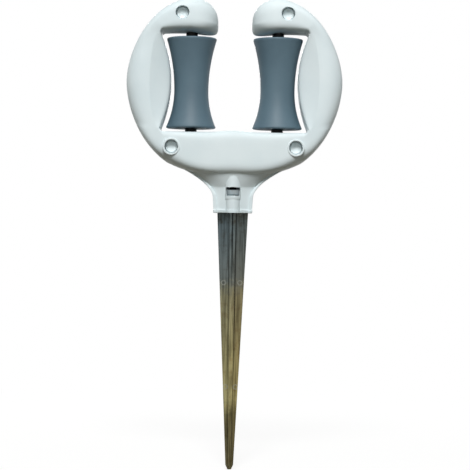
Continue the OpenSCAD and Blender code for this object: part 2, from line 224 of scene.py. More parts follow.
# What the plain materials share: where their clouds begin and end, and how far the sheen follows the grain
sharedLook = {"cloudFrom": 0.35, "cloudTo": 0.7, "cloudDetail": 4, "grainDetail": 3,
              "sheenLess": 0.05, "sheenMore": 0.07}


def grainBump(tree, shader, place, look):
    # fine relief of the mould or casting, drawn coarser than life so that it shows
    grain = addNode(tree, "ShaderNodeTexNoise", {"Vector": place},
                    {"Scale": 1 / (look["grainMm"] * mm), "Detail": sharedLook["grainDetail"]})
    bump = addNode(tree, "ShaderNodeBump", {"Height": grain.outputs["Fac"]},
                   {"Strength": look["grainStrength"], "Distance": look["grainDepthMm"] * mm})
    tree.links.new(bump.outputs["Normal"], shader.inputs["Normal"])
    return grain


def cloudedMaterial(name, look):
    material, tree, shader, place = newMaterial(name, look)
    cloud = addNode(tree, "ShaderNodeTexNoise", {"Vector": place},
                    {"Scale": 1 / (look["cloudMm"] * mm), "Detail": sharedLook["cloudDetail"]})
    tone = addNode(tree, "ShaderNodeValToRGB", {"Fac": cloud.outputs["Fac"]},
                   stops=[(sharedLook["cloudFrom"], look["base"]), (sharedLook["cloudTo"], look["cloud"])])
    tree.links.new(tone.outputs["Color"], shader.inputs["Base Color"])
    grain = grainBump(tree, shader, place, look)
    sheen = addNode(tree, "ShaderNodeMapRange", {"Value": grain.outputs["Fac"]},
                    {"To Min": look["Roughness"] - sharedLook["sheenLess"],
                     "To Max": look["Roughness"] + sharedLook["sheenMore"]})
    tree.links.new(sheen.outputs["Result"], shader.inputs["Roughness"])
    return material


# Satin ABS moulded in a spark-textured tool: broad soft highlights, faint grain, a slightly uneven grey
shellLook = {"base": "#dbe5e7", "cloud": "#d2dee1", "Roughness": 0.55, "IOR": 1.53, "Specular IOR Level": 0.3,
             "grainMm": 0.7, "grainDepthMm": 0.03, "grainStrength": 0.25, "cloudMm": 30}
# Moulded polypropylene of the rollers: satin slate grey
rollerLook = {"base": "#526975", "cloud": "#4c626e", "Roughness": 0.55, "IOR": 1.49,
              "grainMm": 0.8, "grainDepthMm": 0.03, "grainStrength": 0.3, "cloudMm": 18}
# Gloss ABS plugs: the same grey as the shell with a clear highlight in the dish
plugLook = {"base": "#dce5e6", "cloud": "#d3dddf", "Roughness": 0.16, "IOR": 1.53,
            "grainMm": 1.2, "grainDepthMm": 0.01, "grainStrength": 0.1, "cloudMm": 9}
# Acetal bushes: black, a little waxy
bushLook = {"base": "#0b0d0f", "cloud": "#111315", "Roughness": 0.36, "IOR": 1.48, "Specular IOR Level": 0.2,
            "grainMm": 0.6, "grainDepthMm": 0.02, "grainStrength": 0.2, "cloudMm": 5}
# Plated and drawn steel of the hidden screws and axles: bright
steelLook = {"base": "#b9bab8", "cloud": "#a3a5a5", "Roughness": 0.3, "Metallic": 1,
             "grainMm": 0.5, "grainDepthMm": 0.01, "grainStrength": 0.2, "cloudMm": 6}

# Die-cast zinc with a chromate bath: steel grey under the neck that turns olive and straw towards the point,
# with long drag lines, dull spots and a lighter tone on the lug; with painted light as well: a painted shade
# just under the neck, a painted highlight on the ribs, painted shade in their creases and over the tang
spikeLook = {"Roughness": 0.4, "roughSpread": 0.12, "Metallic": 1,
             "grainMm": 0.9, "grainDepthMm": 0.05, "grainStrength": 0.4,
             "lowMm": -166.5, "highMm": 16, "wander": 0.12,
             "spotMm": 4, "spotDetail": 5, "spotRoughness": 0.6,
             "tonesAndNeckShade": [(0.0, "#666047"), (0.15, "#655e43"), (0.19, "#6c6547"), (0.25, "#a2996d"),
                       (0.36, "#978e66"), (0.61, "#857f64"), (0.68, "#656a67"), (0.86, "#596366"),
                       (0.905, "#444846"), (0.945, "#7d878a")],
             "streakMm": 0.9, "streakLengthMm": 26, "streakDetail": 4, "streakShare": 0.7,
             "streaks": [(0.32, "#6f6c66"), (0.6, "#ffffff")],
             "warm": "#d2b8a2", "warmFrom": 0.52, "warmTo": 0.68, "warmShare": 0.45,
             "sides": [(0.0, "#f4fbfd"), (1.0, "#f2ebdd")], "sideMm": 3,
             # how far the painted highlight on the ribs reaches, and how much brighter it draws them
             "ribMm": 2, "tipRibMm": 1, "ribHighlightGain": 1.3, "tipRibHighlightGain": 1.05, "edgeMm": 0.4,
             # width and strength of the painted shade in the creases beside the ribs
             "creaseMm": 0.5, "creaseGain": 0.6,
             "marksMm": [(5.28, -45.3), (3.3, -112.9)], "markRadiusMm": 1.4, "markLineMm": 0.45,
             "mark": "#a3a59c", "markShare": 0.55,
             # the tang above the lug gets a painted near-black shade
             "lugTopMm": 15.15, "lugFadeMm": 0.1, "tang": "#1d1f1e"}


def castZinc(name, look):
    material, tree, shader, place = newMaterial(name, look)
    low = look["lowMm"] * mm
    parts = addNode(tree, "ShaderNodeSeparateXYZ", {"Vector": place})
    xAt, yAt, zAt = (parts.outputs[k] for k in "XYZ")
    # the tone changes with height, and spots let its borders wander
    height = addNode(tree, "ShaderNodeMapRange", {"Value": zAt},
                     {"From Min": low, "From Max": look["highMm"] * mm})
    spots = addNode(tree, "ShaderNodeTexNoise", {"Vector": place},
                    {"Scale": 1 / (look["spotMm"] * mm), "Detail": look["spotDetail"],
                     "Roughness": look["spotRoughness"]})
    wander = addNode(tree, "ShaderNodeMath", {0: spots.outputs["Fac"]},
                     {1: look["wander"], 2: -look["wander"] / 2}, operation="MULTIPLY_ADD")
    drift = addNode(tree, "ShaderNodeMath", {0: height.outputs["Result"], 1: wander.outputs[0]},
                    operation="ADD")
    # the dark stops just under the neck are painted shade, standing in for the shade the neck casts there
    tone = addNode(tree, "ShaderNodeValToRGB", {"Fac": drift.outputs[0]}, stops=look["tonesAndNeckShade"])
    # drag lines run along the spike below the neck
    squeeze = addNode(tree, "ShaderNodeMapping", {"Vector": place},
                      {"Scale": (1, 1, look["streakMm"] / look["streakLengthMm"])})
    streaks = addNode(tree, "ShaderNodeTexNoise", {"Vector": squeeze.outputs["Vector"]},
                      {"Scale": 1 / (look["streakMm"] * mm), "Detail": look["streakDetail"]})
    lines = addNode(tree, "ShaderNodeValToRGB", {"Fac": streaks.outputs["Fac"]}, stops=look["streaks"])
    below = addNode(tree, "ShaderNodeMapRange", {"Value": zAt},
                    {"From Min": mm, "From Max": -mm, "To Max": look["streakShare"]})
    streaked = addNode(tree, "ShaderNodeMix", {0: below.outputs["Result"], 6: tone.outputs["Color"],
                                               7: lines.outputs["Color"]},
                       data_type="RGBA", blend_type="MULTIPLY")
    # warm patches, and a cool left and warm right web
    patch = addNode(tree, "ShaderNodeMapRange", {"Value": spots.outputs["Fac"]},
                    {"From Min": look["warmFrom"], "From Max": look["warmTo"], "To Max": look["warmShare"]})
    warm = addNode(tree, "ShaderNodeMix", {0: patch.outputs["Result"], 6: streaked.outputs[2]},
                   {7: linear(look["warm"])}, data_type="RGBA", blend_type="MULTIPLY")
    across = addNode(tree, "ShaderNodeMapRange", {"Value": xAt},
                     {"From Min": -look["sideMm"] * mm, "From Max": look["sideMm"] * mm})
    tint = addNode(tree, "ShaderNodeValToRGB", {"Fac": across.outputs["Result"]}, stops=look["sides"])
    tinted = addNode(tree, "ShaderNodeMix", {0: below.outputs["Result"], 6: warm.outputs[2],
                                             7: tint.outputs["Color"]},
                     data_type="RGBA", blend_type="MULTIPLY")
    # painted highlight: the front and back ribs are drawn brighter, most of all near the neck
    ribHalf = addNode(tree, "ShaderNodeMapRange", {"Value": zAt},
                      {"From Min": low, "From Max": 0, "To Min": look["tipRibMm"] * mm,
                       "To Max": look["ribMm"] * mm})
    reach = addNode(tree, "ShaderNodeMath", {0: xAt}, operation="ABSOLUTE")
    away = addNode(tree, "ShaderNodeMath", {0: reach.outputs[0], 1: ribHalf.outputs["Result"]},
                   operation="SUBTRACT")
    ribHighlightMask = addNode(tree, "ShaderNodeMapRange", {"Value": away.outputs[0]},
                    {"From Min": look["edgeMm"] * mm, "From Max": 0})
    ribHighlightGain = addNode(tree, "ShaderNodeMapRange", {"Value": zAt},
                      {"From Min": low, "From Max": 0, "To Min": look["tipRibHighlightGain"],
                       "To Max": look["ribHighlightGain"]})
    gain = addNode(tree, "ShaderNodeMix", {0: ribHighlightMask.outputs["Result"], 3: ribHighlightGain.outputs["Result"]}, {2: 1})
    # painted shade darkens the crease between rib and web, below the neck
    shift = addNode(tree, "ShaderNodeMath", {0: away.outputs[0]}, {1: look["creaseMm"] * mm},
                    operation="SUBTRACT")
    crease = addNode(tree, "ShaderNodeMath", {0: shift.outputs[0]}, operation="ABSOLUTE")
    deepest = addNode(tree, "ShaderNodeMapRange", {"Value": zAt},
                      {"From Min": mm, "From Max": -mm, "To Min": 1, "To Max": look["creaseGain"]})
    creaseShade = addNode(tree, "ShaderNodeMapRange",
                   {"Value": crease.outputs[0], "To Max": deepest.outputs["Result"]},
                   {"From Min": look["creaseMm"] * mm, "From Max": 0, "To Min": 1})
    shade = addNode(tree, "ShaderNodeMath", {0: gain.outputs[0], 1: creaseShade.outputs["Result"]},
                    operation="MULTIPLY")
    toneWithPaintedLight = addNode(tree, "ShaderNodeVectorMath", {0: tinted.outputs[2], "Scale": shade.outputs[0]},
                     operation="SCALE").outputs[0]
    # bare rims round the ejector marks on the front
    flat = addNode(tree, "ShaderNodeCombineXYZ", {"X": reach.outputs[0], "Y": zAt})
    isFront = addNode(tree, "ShaderNodeMapRange", {"Value": yAt},
                      {"From Min": 0, "From Max": -mm, "To Max": look["markShare"]})
    for markX, markZ in look["marksMm"]:
        near = addNode(tree, "ShaderNodeVectorMath", {0: flat.outputs["Vector"]},
                       {1: (markX * mm, markZ * mm, 0)}, operation="DISTANCE")
        off = addNode(tree, "ShaderNodeMath", {0: near.outputs["Value"]}, {1: look["markRadiusMm"] * mm},
                      operation="SUBTRACT")
        line = addNode(tree, "ShaderNodeMath", {0: off.outputs[0]}, operation="ABSOLUTE")
        rim = addNode(tree, "ShaderNodeMapRange",
                      {"Value": line.outputs[0], "To Max": isFront.outputs["Result"]},
                      {"From Min": look["markLineMm"] * mm, "From Max": 0})
        toneWithPaintedLight = addNode(tree, "ShaderNodeMix", {0: rim.outputs["Result"], 6: toneWithPaintedLight},
                         {7: linear(look["mark"])}, data_type="RGBA").outputs[2]
    # painted shade: the tang above the lug is drawn near black, standing in for the shade in its pocket
    hidden = addNode(tree, "ShaderNodeMapRange", {"Value": zAt},
                     {"From Min": look["lugTopMm"] * mm,
                      "From Max": (look["lugTopMm"] + look["lugFadeMm"]) * mm})
    whole = addNode(tree, "ShaderNodeMix", {0: hidden.outputs["Result"], 6: toneWithPaintedLight},
                    {7: linear(look["tang"])}, data_type="RGBA")
    tree.links.new(whole.outputs[2], shader.inputs["Base Color"])
    dull = addNode(tree, "ShaderNodeMapRange", {"Value": spots.outputs["Fac"]},
                   {"To Min": look["Roughness"] - look["roughSpread"],
                    "To Max": look["Roughness"] + look["roughSpread"]})
    tree.links.new(dull.outputs["Result"], shader.inputs["Roughness"])
    grainBump(tree, shader, place, look)
    return material


shellAbs = cloudedMaterial("shell_abs_spark_texture", shellLook)
rollerPp = cloudedMaterial("roller_polypropylene_satin", rollerLook)
plugAbs = cloudedMaterial("plug_abs_gloss", plugLook)
bushAcetal = cloudedMaterial("bush_acetal_black", bushLook)
spikeZinc = castZinc("spike_die_cast_zinc_chromate", spikeLook)
plainSteel = cloudedMaterial("axle_and_screw_steel_bright", steelLook)
print("materials made")


# Head: the same sweep as the solid, with finer rows. Left and right mirror each other
rollerLow, rollerHigh = boxMm("right_roller")
shellHigh = boxMm("front_shell")[1]
rollerX = (rollerLow[0] + rollerHigh[0]) / 2
head = {"halfWidth": shellHigh[0], "topZ": shellHigh[2], "underZ": 117, "barZ": 52, "neckZ": 27,
        "barDepth": 17, "hookDepth": 16.5, "armDepth": 15, "tipX": 11, "wall": 2.4,
        "groove": 0.3, "grooveLimitShare": 0.2,
        "cornerX": 47.6, "cornerRound": 2, "armBow": 6.5, "crestInset": 6.9, "crestEndInset": 3,
        "noseAngle": 0.8, "noseShare": 0.26, "noseCrestZ": 121.8, "noseInPower": 1.3, "nosePower": 2.2,
        "keelFade": 3, "tipDip": 6.5, "lipPower": 4,
        "hookCrestShare": 0.48, "hookBendShare": 0.72, "hookPower": 3.8, "hookInPower": 4.6,
        "sidePower": 1.81, "armPower": 3.1, "armInPower": 10, "cornerCrisp": 7, "facetLean": 0.45,
        "highAngle": 52, "armAngle": 30, "barAngle": 66, "turnStart": 0.45, "turnSpan": 2.2, "armTurns": 4,
        "barTuck": 3, "barLip": 7.5, "barCrestShare": 0.92, "barCrestDrop": 8, "barBendDrop": 1.6,
        "barEase": 3, "barOutPower": 2.6, "barMidPower": 3.8, "barCrisp": 12, "barRisePower": 2.6,
        "barInPower": 8, "barSwellPower": 3, "humpHeight": 1, "humpShare": 0.6,
        "rows": {"nose": 24, "hook": 18, "corner": 14, "arm": 44, "bar": 36}, "sectionSteps": 22,
        "hollowRows": {"nose": 8, "hook": 6, "corner": 5, "arm": 12, "bar": 8}, "hollowSteps": 7,
        "hollowStart": 4, "hollowNoseAngle": 2}
bellyZ = (head["barZ"] + head["underZ"]) / 2


def sideEdge(degrees):
    rise = head["topZ"] - bellyZ if degrees > 0 else bellyZ - head["neckZ"]
    radii = np.array([head["halfWidth"] - rollerX, rise])
    return oval(np.array([rollerX, bellyZ]), radii, head["sidePower"], degrees)


def turned(t):
    # the hook's section eases into the arm's over the end of the hook, the corner and the start of the arm
    s = ramp(t, head["turnStart"], head["turnStart"] + head["turnSpan"])
    s = s * s * (3 - 2 * s)
    return [mix(head["hook" + k], head["arm" + k], s) for k in ("Depth", "Power", "InPower")]


def headRows(counts, noseAngle):
    # a row is outer edge, crest, inner edge, depth, two roundness powers and the facet's lean
    under, top, bar = head["underZ"], head["topZ"], head["barZ"]
    corner, turn = head["cornerX"], head["cornerRound"]
    noseCentre = np.array([rollerX, mix(under, top, head["noseShare"])])
    noseRadii = np.array([head["tipX"] - rollerX, top - noseCentre[1]])
    crestX = corner + head["crestEndInset"]
    hookCrest = np.array([rollerX, mix(under, top, head["hookCrestShare"])])
    armTop = np.array([crestX, under - turn])
    armLow = np.array([crestX, bar + turn])
    barEnd = np.array([corner * head["barCrestShare"], bar - head["barCrestDrop"]])
    edgeEnd = sideEdge(-head["barAngle"])
    humpX = rollerX * head["humpShare"]

    def highCrest(s):
        return bend(hookCrest, np.array([crestX, hookCrest[1]]), armTop, s)

    rows = []
    # nose of the hook, up to the roller's axis
    for i in range(counts["nose"] + 1):
        s = i / counts["nose"]
        degrees = mix(noseAngle, 90, s)
        lift = math.sin(math.radians(degrees))
        edge = oval(noseCentre, noseRadii, head["nosePower"], degrees)
        fall = noseCentre[1] - under + head["tipDip"] * (1 - s)
        low = noseCentre[1] - fall * lift ** (2 / head["lipPower"])
        keel = s ** head["keelFade"]
        crest = np.array([edge[0], mix(head["noseCrestZ"], hookCrest[1], keel)])
        depth = head["hookDepth"] * lift ** (2 / head["nosePower"])
        inPower = mix(head["noseInPower"], head["hookInPower"], keel)
        rows.append((edge, crest, np.array([edge[0], low]), depth, head["hookPower"], inPower, 0))
    # rest of the hook
    for i in range(1, counts["hook"] + 1):
        s = i / counts["hook"]
        edge = sideEdge(mix(90, head["highAngle"], s))
        inner = np.array([mix(rollerX, corner - turn, s), under])
        rows.append((edge, highCrest(s * head["hookBendShare"]), inner, *turned(s), 0))
    # upper corner
    for i in range(1, counts["corner"] + 1):
        s = i / counts["corner"]
        a = math.pi / 2 * s
        edge = sideEdge(mix(head["highAngle"], head["armAngle"], s))
        crest = highCrest(mix(head["hookBendShare"], 1, s))
        inner = np.array([corner - turn + turn * math.sin(a), under - turn + turn * math.cos(a)])
        rows.append((edge, crest, inner, *turned(1 + s), 0))
    # arm
    for i in range(1, counts["arm"] + 1):
        s = i / counts["arm"]
        z = mix(under - turn, bar + turn, s)
        swell = 1 - (2 * s - 1) ** 2
        edge = sideEdge(mix(head["armAngle"], -head["armAngle"], s))
        crest = np.array([corner + mix(head["crestEndInset"], head["crestInset"], swell), z])
        inner = np.array([corner - head["armBow"] * swell, z])
        rows.append((edge, crest, inner, *turned(2 + s * head["armTurns"]), head["facetLean"] * swell))
    # lower corner
    for i in range(1, counts["corner"] + 1):
        s = i / counts["corner"]
        a = math.pi / 2 * s
        edge = sideEdge(-mix(head["armAngle"], head["barAngle"], s))
        crest = bend(armLow, armLow - np.array([0, head["barBendDrop"]]), barEnd, s)
        inner = np.array([corner - turn + turn * math.cos(a), bar + turn - turn * math.sin(a)])
        outPower = mix(head["armPower"], head["barOutPower"], s * s) + head["cornerCrisp"] * s * (1 - s)
        inPower = mix(head["armInPower"], head["barInPower"], s)
        rows.append((edge, crest, inner, head["armDepth"], outPower, inPower, 0))
    # crossbar, up to the middle
    for i in range(1, counts["bar"] + 1):
        k = 1 - i / counts["bar"]
        x = (corner - turn) * k
        ease = k ** head["barEase"]
        edgeZ = mix(head["neckZ"] - head["barTuck"], edgeEnd[1], k ** head["barRisePower"])
        crest = np.array([barEnd[0] * k, mix(head["neckZ"] + head["barLip"], barEnd[1], ease)])
        hump = head["humpHeight"] * max(0, 1 - (x / humpX) ** 2) ** 2
        depth = mix(head["barDepth"], head["armDepth"], k ** head["barSwellPower"])
        outPower = mix(head["barMidPower"], head["barOutPower"], ease) + head["barCrisp"] * (k * (1 - k)) ** 2
        rows.append((np.array([edgeEnd[0] * k, edgeZ]), crest, np.array([x, bar + hump]), depth,
                     outPower, head["barInPower"], 0))
    flip = np.array([-1, 1])
    return rows + [(r[0] * flip, r[1] * flip, r[2] * flip, *r[3:]) for r in rows[-2::-1]]


def headSection(row, steps, groove):
    # from the parting line over the crest and back to it, with a small step that makes the parting groove
    outer, crest, inner, depth, outPower, inPower, lean = row
    step = min(groove, depth * head["grooveLimitShare"])
    loop = []
    for k in range(steps + 1):
        a = math.pi / 2 * k / steps
        p = mix(outer, crest, 1 - abs(math.cos(a)) ** (2 / outPower))
        loop.append((p[0], -max(step, depth * math.sin(a) ** (2 / outPower)), p[1]))
    for k in range(1, steps + 1):
        # points lie close together at both ends, so that the crest stays crisp
        u = (1 - math.cos(math.pi * k / steps)) / 2
        p = mix(crest, inner, u)
        fall = (1 - u ** inPower) ** (1 / inPower)
        loop.append((p[0], -max(step, depth * (1 - lean * u) * fall), p[1]))
    first = toward(outer, crest, step)
    last = toward(inner, crest, step)
    return [(first[0], 0, first[1])] + loop + [(last[0], 0, last[1])]


def headForm():
    rows = headRows(head["rows"], head["noseAngle"])
    return loft("head_form", [headSection(r, head["sectionSteps"], head["groove"]) for r in rows])


def headHollow():
    rows = headRows(head["hollowRows"], head["hollowNoseAngle"])
    wall = head["wall"]
    loops = []
    for outer, crest, inner, depth, *rest in rows[head["hollowStart"]:-head["hollowStart"]]:
        outer = toward(outer, crest, wall)
        inner = toward(inner, crest, wall)
        section = headSection((outer, crest, inner, depth - wall, *rest), head["hollowSteps"], 0)
        section[0] = (outer[0], overrun, outer[1])
        section[-1] = (inner[0], overrun, inner[1])
        loops.append(section)
    return loft("head_hollow", loops)


# Neck: rims at the sides, swollen panels up to a crease, a scoop above it, and a ridge, ledge and bulge in
# the middle
neck = {"halfWidth": 12.3, "draft": 0.7, "flareHalfWidth": 38.4, "flareLowZ": 10, "flareHighZ": 31,
        "flarePower": 1.8, "panelDepth": 7.6, "panelSteps": 18, "swell": 2.6,
        "rimProud": 0.6, "rimStep": 1, "rimTopDepth": 5.5, "rimFallZ": 12, "rimWidth": 2.1,
        "rimRound": 0.45, "rimSteps": 3,
        "creaseZ": 16.5, "scoopGain": 6.9, "scoopHighZ": 28, "scoopPower": 2.6,
        "scoopSteps": 26, "fallSteps": 14,
        "lip": 0.3, "lipHeight": 1.7, "lipRound": 0.2, "lipTopShare": 0.2, "lipBendShare": 0.3,
        "pastGround": 1.7, "topZ": 33, "solidZ": 17.5, "hollowSteps": 12,
        "columnLowZ": -2, "ridgeRadius": 4.7, "ridgeFront": 12.7, "ridgeFoot": 1.9,
        "bulgeRadius": 5.4, "bulgeFront": 13, "bulgeRound": 0.7,
        "ledgeZ": 9.8, "ledgeLowZ": 8.4, "ledgeRadius": 5.1, "ledgeRound": 0.3, "rowHeight": 0.6,
        "groundHalf": 40, "groundDepth": 20}


def neckSizes(z):
    flare = max(0, (z - neck["flareLowZ"]) / (neck["flareHighZ"] - neck["flareLowZ"]))
    foot = neck["halfWidth"] + neck["draft"] * ramp(z, 0, neck["flareLowZ"])
    width = mix(foot, neck["flareHalfWidth"], flare ** neck["flarePower"])
    fall = ramp(z, neck["rimFallZ"], neck["scoopHighZ"])
    rim = mix(neck["panelDepth"] + neck["rimProud"], neck["rimTopDepth"], fall)
    drop = mix(neck["rimProud"], neck["rimStep"], ramp(z, 0, neck["creaseZ"]))
    edge = min(neck["panelDepth"], rim - drop)
    middle = neck["panelDepth"] + neck["scoopGain"] * ramp(z, neck["creaseZ"], neck["scoopHighZ"])
    return width, rim, edge, middle


def neckPanel(width, edge, middle, swell):
    points = []
    e = 2 / neck["scoopPower"]
    for k in range(neck["panelSteps"] + 1):
        a = math.pi / 2 * k / neck["panelSteps"]
        share = abs(math.cos(a)) ** e
        points.append((width * share, -mix(edge, middle, math.sin(a) ** e) - swell * (1 - share ** 2) ** 2))
    return points


def bothSides(half, z):
    return [(x, y, z) for x, y in half] + [(-x, y, z) for x, y in half[-2::-1]]


def neckSection(z, grow):
    width, rim, edge, middle = (v + grow for v in neckSizes(z))
    inside, turn = width - neck["rimWidth"], neck["rimRound"]
    groove = head["groove"]
    half = [(width - groove, 0), (width, -groove)]
    half += roundCorner((width, turn - rim), (width, -rim), (width - turn, -rim), neck["rimSteps"])
    half += [(inside + turn, -rim), (inside, turn / 2 - rim)]
    swell = neck["swell"] * (1 - ramp(z, neck["creaseZ"], neck["scoopHighZ"]))
    return bothSides(half + neckPanel(inside, edge, middle, swell), z)


def neckForm():
    lip, lipHeight, turn = neck["lip"], neck["lipHeight"], neck["lipRound"]
    crease, low, soft = neck["creaseZ"], lipHeight + lip + turn, turn * neck["lipBendShare"]
    heights = [mix(neck["topZ"], crease, i / neck["scoopSteps"]) for i in range(neck["scoopSteps"] + 1)]
    heights += [mix(crease, low, i / neck["fallSteps"]) for i in range(1, neck["fallSteps"] + 1)]
    stations = [(z, 0) for z in heights]
    stations += [(lipHeight + lip, lip * neck["lipTopShare"]), (lipHeight, lip), (turn, lip),
                 (soft, lip - soft), (0, lip - turn), (-neck["pastGround"], lip - turn)]
    return loft("neck_form", [neckSection(z, grow) for z, grow in stations])


def funnelHollow():
    loops = []
    steps = neck["hollowSteps"]
    for i in range(steps + 1):
        z = mix(neck["topZ"] + head["wall"], neck["solidZ"], i / steps)
        width, _, _, middle = neckSizes(z)
        inside = width - neck["rimWidth"] - head["wall"]
        loops.append(bothSides([(inside, overrun)] + neckPanel(inside, 0, middle - head["wall"], 0), z))
    return loft("funnel_hollow", loops)


def neckColumn(name, radius, front, profile):
    # short rows keep the shading of an end near that end
    corners = soften(profile)
    rows = []
    for here, after in zip(corners, corners[1:]):
        count = max(1, math.ceil(abs(after[1] - here[1]) / neck["rowHeight"]))
        rows += [mix(here, after, k / count) for k in range(count)]
    return spin(name, rows + corners[-1:], (0, radius - front, 0), "z")


# Spike: a cross-shaped casting with soft edges, filleted where web and rib meet, grooved along the upper ribs
spikeLow, spikeHigh = boxMm("spike")
spike = {"halfWidth": spikeHigh[0], "topZ": spikeHigh[2], "lowZ": spikeLow[2], "stations": 90,
         "tipHalfWidth": 2.55, "pointLength": 3, "pointShare": 0.45, "pointSteps": 4,
         "web": 1.6, "webLimitShare": 0.75, "rib": 2, "tipRib": 1, "ribLimitShare": 0.6,
         "fillet": 2, "tipFillet": 0.7, "filletShare": 0.98, "filletSteps": 6,
         "edge": 0.45, "edgeLimitShare": 0.4, "edgeSteps": 4,
         "grooveShare": 0.2, "grooveSteepness": 1.6, "grooveFade": (20, 60), "grooveFloor": 0.02,
         "tangChamfer": 3, "clear": 0.15, "pocketLowZ": -0.1,
         "lugBack": 8.5, "lugFront": spikeHigh[1] - 1.4, "lugHalfWidth": 4, "lugLowZ": 11.4, "lugHighZ": 15.1,
         "lugRound": 0.5, "lugCorner": 0.4, "markDepth": 0.3, "markRim": 0.35, "markSegments": 48,
         "sharpAngle": 25}


def spikeSection(z, grow):
    length, tip = -spike["lowZ"], spike["tipHalfWidth"]
    straight = length - spike["pointLength"]
    s = ramp(-z, 0, length)
    wide = mix(spike["halfWidth"], tip, ramp(-z, 0, straight))
    wide = mix(wide, tip * spike["pointShare"], ramp(-z, straight, length)) + grow
    wide -= spike["tangChamfer"] * ramp(z, spike["topZ"] - spike["tangChamfer"], spike["topZ"])
    web = min(spike["web"] + grow, wide * spike["webLimitShare"])
    rib = min(mix(spike["rib"], spike["tipRib"], s) + grow, wide * spike["ribLimitShare"])
    turn = min(spike["edge"], rib * spike["edgeLimitShare"])
    room = wide - turn - max(rib, web)
    fillet = min(mix(spike["fillet"], spike["tipFillet"], s), room) * spike["filletShare"]
    quarter = roundCorner((wide, web - turn), (wide, web), (wide - turn, web), spike["edgeSteps"])
    quarter += roundCorner((rib + fillet, web), (rib, web), (rib, web + fillet), spike["filletSteps"])
    quarter += roundCorner((rib, wide - turn), (rib, wide), (rib - turn, wide), spike["edgeSteps"])
    groove = rib * spike["grooveShare"]
    deep = spike["grooveSteepness"] * (1 - ramp(-z, *spike["grooveFade"]))
    quarter += [np.array([groove, wide]), np.array([spike["grooveFloor"], wide - groove * deep])]
    loop = []
    for sx, sy, order in [(1, 1, 1), (-1, 1, -1), (-1, -1, 1), (1, -1, -1)]:
        loop += [(sx * p[0], sy * p[1], z) for p in quarter[::order]]
    return loop


def tangPocket():
    clear, top = spike["clear"], spike["topZ"]
    loops = [spikeSection(z, clear) for z in (spike["pocketLowZ"], 0, top - spike["tangChamfer"])]
    loops.append([(x, y, top + clear) for x, y, z in loops[-1]])
    return loft("tang_pocket", loops)


# Window over the lug, with a small chamfer at its mouth
window = {"halfWidth": 4.5, "lowZ": 10.9, "highZ": 16.4, "round": 0.7, "chamfer": 0.3, "flareOut": 2,
          "backDepth": 8.35, "slitHalfWidth": 4.2, "slitBack": 3.2, "slitSlope": 2.5, "slitMouth": 1}


def windowLoop(depth, grow):
    half, low, high = window["halfWidth"] + grow, window["lowZ"] - grow, window["highZ"] + grow
    return [(x, -depth, z) for x, z in roundedBox(half, low, high, window["round"])]


def windowCut():
    front, chamfer, out = neck["bulgeFront"], window["chamfer"], window["flareOut"]
    stations = [(window["backDepth"], 0), (front - chamfer, 0), (front, chamfer),
                (front + out, chamfer + out)]
    return loft("window_cut", [windowLoop(depth, grow) for depth, grow in stations])


def lugSlit():
    # the gap over the lug runs on behind the window to a sloped end, so it looks black
    wide, low, high = window["slitHalfWidth"], spike["lugHighZ"], window["highZ"]
    mouth, back = window["slitMouth"] - neck["bulgeFront"], -window["slitBack"]
    profile = [(mouth, low), (back, low), (back - window["slitSlope"], high), (mouth, high)]
    return loft("lug_slit", [[(x, y, z) for y, z in profile] for x in (-wide, wide)])


# Screw bosses and plug holes
bosses = {"outer": 5.6, "rear": 4.15, "hole": 4.3, "topHeight": 15.2, "bottomHeight": 16.4, "floor": 5,
          "shank": 2, "pilot": 1.78, "pilotDepth": 10, "round": 0.45, "mouthChamfer": 0.35,
          "postFrom": -3, "postTo": 20, "holeTo": 25, "segments": 72}
plugNames = ["top_left", "top_right", "bottom_left", "bottom_right"]


def screwPlace(name):
    low, high = boxMm(name + "_plug")
    return (low[0] + high[0]) / 2, (low[2] + high[2]) / 2


def rod(name, place, low, high, radius, turn=0):
    profile = soften([(0, low, 0), (radius, low, 0), (radius, high, turn), (0, high, 0)])
    return spin(name, profile, (place[0], 0, place[1]), "y", bosses["segments"])


def screwHole(name, isFront):
    if isFront:
        shank, hole, floor, chamfer = (bosses[k] for k in ("shank", "hole", "floor", "mouthChamfer"))
        mouth = head["hookDepth"] if name.startswith("top") else bosses["bottomHeight"]
        profile = [(0, -overrun), (shank, -overrun), (shank, floor), (hole, floor), (hole, mouth - chamfer),
                   (hole + chamfer, mouth), (hole + chamfer, bosses["holeTo"]), (0, bosses["holeTo"])]
    else:
        pilot, depth = bosses["pilot"], bosses["pilotDepth"]
        profile = [(0, -overrun), (pilot, -overrun), (pilot, depth), (0, depth)]
    x, z = screwPlace(name)
    return spin("hole", profile, (x, 0, z), "y")


# Axle seats: saddles in the hollow, a bore through them and a flat for the top collar
axleLow, axleHigh = boxMm("right_axle")
seats = {"bore": 2.53, "flat": 4.1, "flatGap": 0.15, "saddleHalf": 4.5, "saddleReach": 2,
         "saddleFrom": -20, "saddleTo": 3, "segments": 64}


def axleSaddles():
    half, reach = seats["saddleHalf"], seats["saddleReach"]
    spans = ((axleLow[2] - reach, head["barZ"]), (head["underZ"], axleHigh[2] + reach))
    return [block("saddle", (x - half, seats["saddleFrom"], low), (x + half, seats["saddleTo"], high))
            for x in (-rollerX, rollerX) for low, high in spans]


def axleCuts(x):
    under = head["underZ"]
    cuts = {"bore": (seats["bore"], axleLow[2], axleHigh[2]),
            "seat": (seats["flat"], under - head["tipDip"], under - seats["flatGap"])}
    tools = []
    for name, (radius, low, high) in cuts.items():
        profile = [(0, low), (radius, low), (radius, high), (0, high)]
        tools.append(spin(name, profile, (x, 0, 0), "z", seats["segments"]))
    return tools


